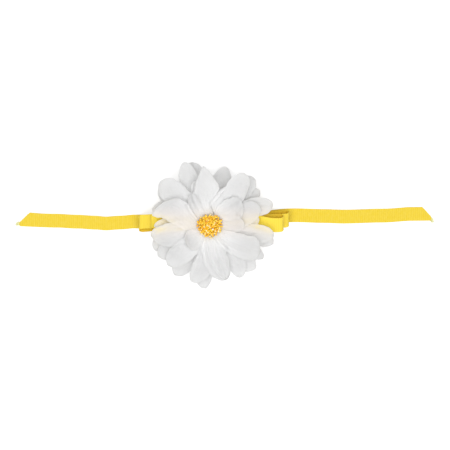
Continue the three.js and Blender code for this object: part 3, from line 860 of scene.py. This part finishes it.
class Petal:
    """One petal: the angle that its tip points at, its shares of the usual reach and width, the
    share of its length at which it is widest, how blunt its tip is, and what bends it."""

    cup = 0.5  # how far both its sides rise
    curl = 0.2  # how far its tip rises
    left = right = 0  # how far either edge is rolled up
    pleats = 0.3
    sway = 0  # how far its middle swings aside, in degrees
    waist = 0  # how much narrower its right side is near the root
    flare = 0  # how much wider its left side is near the root
    fold = 0  # how much of its left edge is folded back over it

    def __init__(self, tip, reach, width, belly=0.62, blunt=2, **bends):
        self.tip, self.reach, self.width, self.belly, self.blunt = tip, reach, width, belly, blunt
        for name, value in bends.items():
            setattr(self, name, value)


petal_layers = [
    (32.7, [
        Petal(35, 0.94, 0.8), Petal(74, 0.92, 0.9, 0.6), Petal(120, 0.8, 0.95),
        Petal(180, 0.865, 0.52, 0.45, cup=0.1, curl=1.4), Petal(215, 0.85, 0.95), Petal(262, 0.85, 0.95),
        Petal(305, 0.85, 0.95), Petal(344, 1.04, 0.78, 0.68)]),
    (10.4, [
        Petal(5, 0.77, 0.85), Petal(45.7, 1.005, 1, 0.66, curl=0.4), Petal(108.5, 1.01, 0.98, 0.62),
        Petal(143, 0.99, 0.98), Petal(203.5, 0.96, 0.95, 0.66), Petal(237, 0.985, 0.95, 0.66),
        Petal(280, 0.87, 0.9), Petal(328.5, 0.99, 0.66, 0.7)]),
    (30, [
        Petal(18, 1.035, 0.85, 0.7, 2.2, pleats=0.5), Petal(67, 0.58, 0.85),
        Petal(112.1, 1.055, 0.91, 0.6, cup=0.6, curl=0.3), Petal(163, 0.93, 0.85, 0.66, sway=-8),
        Petal(212, 0.945, 0.98), Petal(265, 1.03, 0.85, 0.64), Petal(317, 0.99, 0.93, 0.66),
        Petal(351.5, 1.01, 0.88, 0.68, pleats=0.6)]),
    (3.8, [
        Petal(25, 0.82, 0.98, 0.66, 2.4, curl=0.3),
        Petal(57, 0.98, 1.2, 0.5, 3, cup=0.9, curl=0.5, right=0.2, pleats=0.1, sway=3, flare=1.8, fold=0.6),
        Petal(112, 0.72, 0.8, 0.6, waist=0.9), Petal(137, 1.03, 1.12, 0.64, 2.2, curl=0.3, right=0.3),
        Petal(190.7, 0.92, 1.08, 0.64, pleats=0.5, sway=6), Petal(222, 0.9, 1.02, cup=0.6, curl=0.3),
        Petal(252.5, 0.94, 0.92), Petal(300, 0.95, 0.82, 0.66)]),
    (1.5, [
        Petal(2, 0.54, 0.72, 0.6), Petal(30, 0.6, 1.02, 0.7, 3, cup=0.3, curl=0.1, pleats=0.1),
        Petal(95.4, 0.94, 1.24, 0.46, 1.25, left=0.3, right=0.2, sway=1.5, waist=1.7),
        Petal(118, 0.58, 0.55, 0.6, 1.6, cup=0.8, left=0.5),
        Petal(164.6, 0.9, 1.18, 0.6, 2.2, cup=0.6, curl=0.3, right=0.3, pleats=0.6, sway=-17),
        Petal(216, 0.46, 0.95, 0.66, 2.2, curl=0.6), Petal(287, 0.88, 1.12, 0.5, 2.2, right=0.3, pleats=3),
        Petal(334.5, 0.865, 1.12, 0.78, 3, curl=0.4, left=0.2, pleats=0.8)]),
]

petal_rows = 30
petal_columns = 17
last_row = 0.965
row_crowding = 0.75
row_shares = np.sin(np.linspace(0, math.pi / 2 * last_row, petal_rows)) ** row_crowding
row_shares = row_shares / row_shares[-1]
column_shares = np.linspace(-1, 1, petal_columns)
last_past = 0.998
widening_power = 0.65
hub_blend = 0.06
waist_start = 0.2
waist_end = 0.5
flare_end = 0.6
flat_share = 0.76
roll_spread = 0.2
roll_turn = 2.6
fold_line = 0.625
fold_turn = 2.7
fold_end = 0.7
fold_hem = 0.02
# How far out a folded-back flap takes its tone from: it keeps the hub's white, a painted light on the flap.
fold_painted_light = 0.15
shaped_from = 0.35
shaping_power = 1.5
cup_depth = 0.0016
cup_middle = 0.35
curl_height = 0.0042
pleat_depth = 0.00045
pleat_phase = 1.7
pleat_rise = 3
pleat_fade = 1.25
fewest_pleats = 2.5
more_pleats = 0.5
crease_depth = 0.000225
crease_width = 0.16
crease_rise = 4
broad_wobble = (0.03, 23, 2.1)
fine_wobble = (0.02, 47, 5.3)
ruffle_wave = (0.0005, 11, 2.9)
tilt_wave = (0.0005, 0, 2.4)
number_step = 0.618

weave_pitch = 0.34
# Painted shade on the petals: white near the hub, greying towards the tips, with random crumpled variation.
painted_tip_shade_grey = (0.74, 0.74, 0.738, 1)
painted_tip_shade_pale = (0.785, 0.785, 0.783, 1)
# Painted warm light near the hub, standing for the yellow stamens' glow on the cloth.
painted_stamen_glow = (1.0, 0.95, 0.82, 1)
# Painted light where the petals lie over the bow: a warm painted glow from the yellow ribbon.
painted_ribbon_glow = (0.98, 0.90, 0.84, 1)
# Painted yellow light where the ribbon's yellow shows through the cloth from below.
painted_ribbon_show_through = (1.0, 0.86, 0.42, 1)
# Painted shade along the petals' outer rims.
painted_rim_shade = (0.70, 0.70, 0.685, 1)
petal_glow = (0.96, 0.96, 0.96, 1)

fabric = Finish("petal_fabric")
petal_map = fabric.node("UVMap", {"uv_map": "cut"}, {})
out_petal, across_petal, petal_number = fabric.axes(fabric.attribute("petal", "Vector"))
cut_x, cut_y, _ = fabric.axes(petal_map)
woven = (cut_x * (math.tau / weave_pitch)).sine() * (cut_y * (math.tau / weave_pitch)).sine()
slubs = fabric.noise(petal_map, (0.35, 3.2, 0))
fan = (across_petal * 19 + petal_number * 40).sine()
fan_fade = fabric.ramp(out_petal, 0.9, 0.1)
crumple = fabric.noise(petal_map, scale=0.22, detail=3.0)
wrinkles = fabric.noise(petal_map, scale=0.62)
side_rim = fabric.ramp(abs(across_petal), 0.86, 0.99)
tip_rim = fabric.ramp(out_petal, 0.94, 0.99)
rim = side_rim.maths("MAXIMUM", side_rim, tip_rim)
# A band along the bow's middle line that takes the ribbon's painted glow.
_, petal_y, _ = fabric.axes(fabric.here())
painted_ribbon_glow_band = fabric.node(
    "MapRange", {"interpolation_type": "SMOOTHSTEP"}, {0: abs(petal_y - bow_y), 1: 0.014, 2: 0.003})
# How much of the ribbon's yellow shows through, for a painted yellow light.
yellow_below = fabric.attribute("yellow")
# Painted shade along the outer rims, left out where the ribbon's yellow shows through.
painted_rim_shade_share = rim * fabric.ramp(out_petal, 0.35, 0.7) * (1 - yellow_below)
fabric.shade(
    Base_Color=fabric.tinted(
        (1, 1, 1, 1),
        # painted shade: greyer towards the tips, white near the hub
        (fabric.ramp(out_petal, 0.15, 0.8), fabric.tinted(painted_tip_shade_grey, (crumple, painted_tip_shade_pale))),
        # painted warm glow from the stamens near the hub
        (fabric.ramp(out_petal, 0.12, 0.0) * 0.6, painted_stamen_glow),
        # painted warm glow over the bow
        (painted_ribbon_glow_band * 0.5, painted_ribbon_glow),
        # painted yellow light of the ribbon through the cloth
        (yellow_below * 0.85, painted_ribbon_show_through),
        # painted shade along the outer rims
        (painted_rim_shade_share * 0.7, painted_rim_shade)),
    Roughness=0.8 + slubs * 0.1,
    Specular_IOR_Level=0.25,
    Sheen_Weight=0.15,
    Sheen_Roughness=0.5,
)
petal_height = woven * 0.12 + slubs * 0.35 + fan * fan_fade + crumple * 3.2 + wrinkles * 1.3
petal_normal = fabric.bump(petal_height, distance=0.00012, strength=0.7)
fabric.see_through(0.5, petal_glow, petal_normal)

land_cell = 0.0004
land_half = 0.064
land_cells = int(2 * land_half / land_cell)
land_soft = 4
ground_level = -1.0
veil = 0.35
glow_lift = 0.004
lift_limit = 0.02
felt_rings = 30
felt_spokes = 120


def refined(points, axis):
    """The same grid with a new point between every two along an axis."""
    points = np.moveaxis(points, axis, 0)
    fine = np.empty((2 * len(points) - 1, *points.shape[1:]))
    fine[::2] = points
    fine[1::2] = (points[1:] + points[:-1]) / 2
    return np.moveaxis(fine, 0, axis)


def blurred(values, axes, reach):
    """An even blur along some axes of a grid, one after the other."""
    for axis in axes:
        values = sum(np.roll(values, step, axis) for step in range(-reach, reach + 1)) / (reach * 2 + 1)
    return values


class Landscape:
    """The height of all that already lies under a new layer, on a fine square grid."""

    def __init__(self):
        self.height = np.full((land_cells, land_cells), ground_level)
        self.yellow = np.zeros((land_cells, land_cells))

    def cells(self, x, y):
        """The columns and rows of some places, with their fractions."""
        return (x - flower.x + land_half) / land_cell, (y - flower.y + land_half) / land_cell

    def cover(self, points, yellow=None):
        """Adds a surface, given as a grid of points. It is this yellow, or it veils what is under it."""
        before = self.height.copy()
        for axis in (0, 0, 1, 1):
            points = refined(points, axis)
        x, y, z = points.reshape(-1, 3).T
        column, row = (place.astype(int) for place in self.cells(x, y))
        inside = (column >= 0) & (column < land_cells) & (row >= 0) & (row < land_cells)
        np.maximum.at(self.height, (row[inside], column[inside]), z[inside])
        higher = self.height > before
        self.yellow[higher] = self.yellow[higher] * veil if yellow is None else yellow

    def softened(self):
        """The highest neighbour within reach, then an even blur: nowhere lower than the surface."""
        wide = self.height.copy()
        for down in range(-land_soft, land_soft + 1):
            for right in range(-land_soft, land_soft + 1):
                if down ** 2 + right ** 2 <= land_soft ** 2 + 1:
                    wide = np.maximum(wide, np.roll(self.height, (down, right), (0, 1)))
        return blurred(wide, (0, 1), land_soft // 2)

    def under(self, grid, x, y):
        """The value of a grid, such as the softened heights, under given places."""
        column, row = (np.clip(place - 0.5, 0, land_cells - 2) for place in self.cells(x, y))
        c, r = column.astype(int), row.astype(int)
        dc, dr = column - c, row - r
        low = grid[r, c] * (1 - dc) + grid[r, c + 1] * dc
        high = grid[r + 1, c] * (1 - dc) + grid[r + 1, c + 1] * dc
        return low * (1 - dr) + high * dr


def layer_base(layer, x, y):
    """Height of a layer before its petals are shaped: the layers part and sag towards the rim."""
    radius = np.maximum(np.hypot(x, y), 1e-6)
    out = np.clip((radius - hub_radius) / (petal_reach - hub_radius), 0, None)
    sag = rim_sag * (1 - layer * sag_fade) * (y / radius) ** 2 * out ** 2
    return hub_bottom + cloth + layer * layer_pitch + layer * rim_spread * out ** spread_power - sag


def half_widths(petal, share, across):
    """How far a petal reaches to its left and right at each place along it."""
    half = petal.width * petal_width / 2
    root_half = hub_radius * math.sin(root_half_angle)
    widening = np.sin(np.pi / 2 * unit(share / petal.belly)) ** widening_power
    past = unit((share - petal.belly) / (1 - petal.belly)) * last_past
    closing = half * (1 - past ** petal.blunt) ** (1 / min(petal.blunt, 2))
    widths = np.where(share < petal.belly, root_half + (half - root_half) * widening, closing)
    slimmer = petal.waist * unit(1 - share / waist_end) * unit(share / waist_start)
    wider = petal.flare * unit(1 - share / flare_end)
    return widths * np.where(across < 0, 1 - slimmer, 1 + wider)


def turned_edges(petal, share, across, widths):
    """How far aside a petal's points lie, and how high its rolled or folded edges rise."""
    roll = np.where(across > 0, petal.left, petal.right) * np.sin(np.pi * share) ** 0.5
    flat = flat_share - roll_spread * roll
    turn = np.minimum(roll, 1) * roll_turn + 1e-3
    edge = unit((np.abs(across) - flat) / (1 - flat))
    rolled = flat + (1 - flat) * np.sin(turn * edge) / turn
    aside = np.where(np.abs(across) < flat, np.abs(across), rolled) * np.sign(across)
    rise = widths * (1 - flat) * (1 - np.cos(turn * edge)) / turn
    if petal.fold:
        lens = np.maximum(np.sin(np.pi * unit(share / fold_end)), fold_hem)
        flap = petal.fold * np.clip(across - fold_line, 0, None) * lens
        aside = np.where(across > fold_line, fold_line + flap * math.cos(fold_turn), aside)
        rise = rise + flap * widths * math.sin(fold_turn)
    return aside, rise


def relief(petal, share, across, widths, number):
    """The height of a petal's cup, curl, pleats, crease, ruffle and tilt over its layer."""
    shaped = unit(share / shaped_from) ** shaping_power
    cupped = petal.cup * cup_depth * (across ** 2 - cup_middle) * unit(widths / (petal_width / 2))
    curled = petal.curl * curl_height * unit((share - petal.belly) / (1 - petal.belly)) ** 2
    folds = np.cos(across * math.pi * (fewest_pleats + number % 3 * more_pleats) + number * pleat_phase)
    pleated = petal.pleats * pleat_depth * folds * unit(share * pleat_rise) * (pleat_fade - share)
    crease = crease_depth * np.exp(-(across / crease_width) ** 2) * unit(share * crease_rise) * (1 - share)
    ruffle = wave(ruffle_wave, share, number) * np.abs(across) ** 3 * np.sign(across)
    tilt = wave(tilt_wave, 0, number) * across
    return (cupped + ruffle + tilt) * shaped + curled + pleated - crease


def petal_surface(layer, root, petal, number):
    """One petal as a grid of points, with its flat cut and its place along and across. Its plan is
    worked out in complex numbers, whose angle is the way round the flower."""
    share, across = np.meshgrid(row_shares, column_shares, indexing="ij")
    tip = math.radians(petal.tip)
    lean = math.atan2(math.sin(tip - root), math.cos(tip - root))
    length = petal.reach * petal_reach - hub_radius
    radius = hub_radius + length * share
    turn = np.exp(1j * (root + lean * share + math.radians(petal.sway) * np.sin(np.pi * share)))
    leftward = 1j * (length + 1j * radius * lean) * turn
    leftward = leftward / np.abs(leftward)
    widths = half_widths(petal, share, across)
    aside, rise = turned_edges(petal, share, across, widths)
    wobble = 1 + wave(broad_wobble, share, number, across * 2) + wave(fine_wobble, share, number)
    cut = radius * turn + leftward * across * widths
    plan = radius * turn + leftward * aside * widths * wobble
    hub = unit(1 - share / hub_blend)
    plan = plan * (1 - hub) + hub_radius * np.exp(1j * (root + across * root_half_angle)) * hub
    z = layer_base(layer, plan.real, plan.imag) + relief(petal, share, across, widths, number) + rise
    surface = np.stack([plan.real + flower.x, plan.imag + flower.y, z], axis=-1)
    # A folded-back flap keeps the tone of the petal's inner part: painted light on the flap.
    out = np.where((across > fold_line) & (petal.fold > 0), np.minimum(share, fold_painted_light), share)
    place = np.stack([out, across, np.full_like(out, (number * number_step) % 1)], axis=-1)
    return surface, np.stack([cut.real, cut.imag], axis=-1), place


def laid(surface, below):
    """Lays a petal on what is under it, and gives how much yellow shows through it at each point,
    which the petal's colour takes up as a painted yellow light.
    """
    x, y, wanted = np.moveaxis(surface, -1, 0)
    support = below.under(below.softened(), x, y)
    rest = support + cloth + layer_gap
    held = (wanted + rest + np.sqrt((wanted - rest) ** 2 + land_touch ** 2)) / 2
    free = unit(row_shares / hub_blend)[:, None]
    z = wanted * (1 - free) + np.maximum(held, wanted) * free
    glow = below.under(blurred(below.yellow, (0, 1, 0, 1), 1), x, y)
    fading = np.exp(-np.clip(z - support - cloth, 0, lift_limit) / glow_lift)
    return np.stack([x, y, z], axis=-1), glow * fading


def hub_ring(layer, root):
    """The points of the hub's hole at one petal, with their flat cut and place."""
    angle = root + column_shares * root_half_angle
    cut = np.stack([np.cos(angle), np.sin(angle)], axis=-1) * hub_hole
    height = np.full((petal_columns, 1), hub_bottom + cloth + layer * layer_pitch)
    place = np.stack([column_shares * 0, column_shares, column_shares * 0], axis=-1)
    return np.concatenate([cut + np.array(flower.xy), height], axis=1), cut, place


def blossom(layer, below):
    """One layer: a hub and eight petals laid on what is under them, given their thickness."""
    turn, petals = petal_layers[layer]
    points, cuts, places, yellows = [], [], [], []
    area = math.pi * (hub_radius ** 2 - hub_hole ** 2)
    for number, petal in enumerate(petals):
        root = math.radians(turn + number * 360 / len(petals))
        surface, cut, place = petal_surface(layer, root, petal, number + layer * len(petals))
        surface, yellow = laid(surface, below)
        below.cover(surface)
        steps = np.linalg.norm(np.diff(surface, axis=0), axis=2)[:, :-1]
        spans = np.linalg.norm(np.diff(surface, axis=1), axis=2)[:-1]
        area += float((steps * spans).sum())
        ring, ring_cut, ring_place = hub_ring(layer, root)
        points.append(np.concatenate([surface, ring[None]]))
        cuts.append(np.concatenate([cut, ring_cut[None]]))
        places.append(np.concatenate([place, ring_place[None]]))
        yellows.append(np.concatenate([yellow, np.zeros((1, petal_columns))]))
    points = np.array(points).reshape(-1, 3)
    numbers = np.arange(len(points)).reshape(len(petals), petal_rows + 1, petal_columns)
    hub = np.stack([numbers[:, -1].ravel(), numbers[:, 0].ravel()], axis=1)
    faces = quads(np.concatenate([hub, hub[:1]])).tolist()
    for grid in numbers[:, :-1]:
        faces += quads(grid.T).tolist()
    node = f"petal_layer_{layer + 1}"
    mesh = bpy.data.meshes.new(node + "_fabric")
    mesh.from_pydata(points.tolist(), [], faces)
    corner_points = np.empty(len(mesh.loops), int)
    mesh.loops.foreach_get("vertex_index", corner_points)
    cut = np.array(cuts).reshape(-1, 2)[corner_points] * to_millimetres
    mesh.uv_layers.new(name="cut").data.foreach_set("uv", cut.ravel())
    mesh.attributes.new("petal", "FLOAT_VECTOR", "POINT").data.foreach_set("vector", np.array(places).ravel())
    mesh.attributes.new("yellow", "FLOAT", "POINT").data.foreach_set("value", np.array(yellows).ravel())
    piece = added(node + "_fabric", mesh)
    modify(piece, "SOLIDIFY", thickness=cloth, offset=-1)
    smooth(60)
    finished(piece, fabric, "bow_and_upper_jaw", node)


land = Landscape()
for strip in (tails_flat, outer_flat, inner_flat):
    land.cover(strip + np.array([0, 0, ribbon_thickness / 2]), yellow=1.0)
felt_angles = np.linspace(0, math.tau, felt_spokes)
felt_radii = np.linspace(0, felt_radius, felt_rings)[:, None]
felt_x = flower.x + felt_radii * np.cos(felt_angles)
felt_y = flower.y + felt_radii * np.sin(felt_angles)
land.cover(np.stack([felt_x, felt_y, np.full_like(felt_x, felt_high.z)], axis=-1), yellow=0.0)
for layer in range(len(petal_layers)):
    blossom(layer, land)


# Stamen head. A soft moulded plastic centre: a low dome set with knobbed filaments that fan out
# from it, with a peg that goes down through the petal layers into the felt.

peg_radius = 0.0022
dome_radius = 0.0066
dome_rim = 0.0009
dome_rise = 0.0028
filament_count = 185
filament_length = 0.0058
filament_radius = 0.0002
filament_sink = 0.0004
root_inset = 0.0006
root_crowding = 1.1
root_swing = 0.3
knob_radius = 0.0007
knob_reach = 0.0097
knob_droop = 0.0003
knob_rise = 0.0054
knob_fall = 0.0048
knob_stray = 0.0004
knob_swing = 0.12
knob_rings = (35, 65, 95, 125, 150, 168)
head_depth = 0.92
head_corners = 0.04
stalk_length = filament_length - 2 * knob_radius
golden_angle = math.pi * (3 - math.sqrt(5))
base_z = hub_bottom + layer_pitch * len(petal_layers)

plastic = Finish("stamen_plastic")
up_filament, filament_tone, _ = plastic.axes(plastic.attribute("filament", "Vector"))
stamen_noise = plastic.noise(plastic.here(), scale=700.0)
stalk_colour = plastic.node("ValToRGB", {"stops": [
    (0.0, (1.0, 0.60, 0.08, 1)), (0.5, (1.0, 0.54, 0.01, 1)), (1.0, (1.0, 0.62, 0.02, 1))]}, {0: up_filament})
knob_colour = plastic.node("ValToRGB", {"stops": [
    (0.0, (0.90, 0.42, 0.003, 1)), (0.35, (0.92, 0.53, 0.012, 1)), (0.78, (0.94, 0.66, 0.06, 1)),
    (0.9, (0.97, 0.79, 0.32, 1)), (1.0, (1.0, 0.89, 0.68, 1))]}, {0: filament_tone})
plastic.shade(
    Base_Color=plastic.tinted(stalk_colour, (plastic.ramp(up_filament, 0.7, 0.82), knob_colour)),
    Roughness=0.2 + stamen_noise * 0.1,
    Specular_IOR_Level=0.6,
)
plastic.bump(stamen_noise, distance=0.00003, strength=0.4)


def marked(piece, marks):
    """Writes each point's height on its filament and the filament's tone."""
    attribute = piece.data.attributes.new("filament", "FLOAT_VECTOR", "POINT")
    attribute.data.foreach_set("vector", np.array(marks, float).ravel())


bpy.ops.mesh.primitive_uv_sphere_add(segments=40, ring_count=20, radius=dome_radius)
stamen_head = bpy.context.object
stamen_head.name = "stamen_head_plastic"
edit_all()
bpy.ops.mesh.bisect(plane_co=(0, 0, 0), plane_no=(0, 0, 1), use_fill=True, clear_inner=True)
bpy.ops.mesh.select_all(action="SELECT")
bpy.ops.transform.resize(value=(1, 1, dome_rise / dome_radius), center_override=(0, 0, 0))
bpy.ops.transform.translate(value=(0, 0, base_z + dome_rim))
pick_faces(stamen_head, lambda normal: normal.z < -facing)
extrude((0, 0, -dome_rim))
bpy.ops.mesh.inset(thickness=dome_radius - peg_radius)
extrude((0, 0, hub_bottom - base_z))
bpy.ops.mesh.select_all(action="SELECT")
bpy.ops.transform.translate(value=(flower.x, flower.y, 0))
mode("OBJECT")
outward()
marked(stamen_head, [(0, 0.3, 0)] * len(stamen_head.data.vertices))

filament = round_bar(8, filament_radius, stalk_length, (0, 0, stalk_length / 2))
mode("EDIT")
pick_faces(filament, lambda normal: normal.z > facing)
ring_radius, ring_height = filament_radius, stalk_length
for turn_degrees in knob_rings:
    turn = math.radians(turn_degrees)
    next_radius = knob_radius * math.sin(turn)
    next_height = stalk_length + knob_radius * (1 - math.cos(turn))
    width = next_radius / ring_radius
    extrude((0, 0, next_height - ring_height))
    bpy.ops.transform.resize(value=(width, width, 1), center_override=(0, 0, next_height))
    ring_radius, ring_height = next_radius, next_height
mode("OBJECT")
filament_heights = [point.co.z / filament_length for point in filament.data.vertices]

filaments = []
chance = np.random.default_rng(seed=5)
for place in range(filament_count):
    share = math.sqrt((place + 0.5) / filament_count)
    stray = chance.uniform(-1, 1, 4)
    tone = chance.uniform(0, 1)
    turn = place * golden_angle + knob_swing * stray[0]
    corners = 1 + head_corners * share * math.cos(3 * (turn + math.pi / 2))
    knob_out = knob_reach * share * corners + knob_stray * stray[1]
    knob = Vector((
        knob_out * math.cos(turn), knob_out * math.sin(turn) * head_depth - knob_droop,
        knob_rise - knob_fall * share ** 2 + knob_stray * stray[2]))
    root_out = (dome_radius - root_inset) * share ** root_crowding
    root_turn = turn + root_swing * stray[3]
    root = Vector((
        root_out * math.cos(root_turn), root_out * math.sin(root_turn),
        dome_rise * (1 - (root_out / dome_radius) ** 2) - filament_sink))
    along = (knob - root).normalized()
    strand = another(filament)
    strand.rotation_mode = "QUATERNION"
    strand.rotation_quaternion = along.to_track_quat("Z", "Y")
    strand.location = knob - along * filament_length + Vector((flower.x, flower.y, base_z + dome_rim))
    marked(strand, [(height, tone, 0) for height in filament_heights])
    filaments.append(strand)
bpy.data.objects.remove(filament)
join_to(stamen_head, filaments)
smooth(60)
finished(stamen_head, plastic, "bow_and_upper_jaw", "stamen_head")
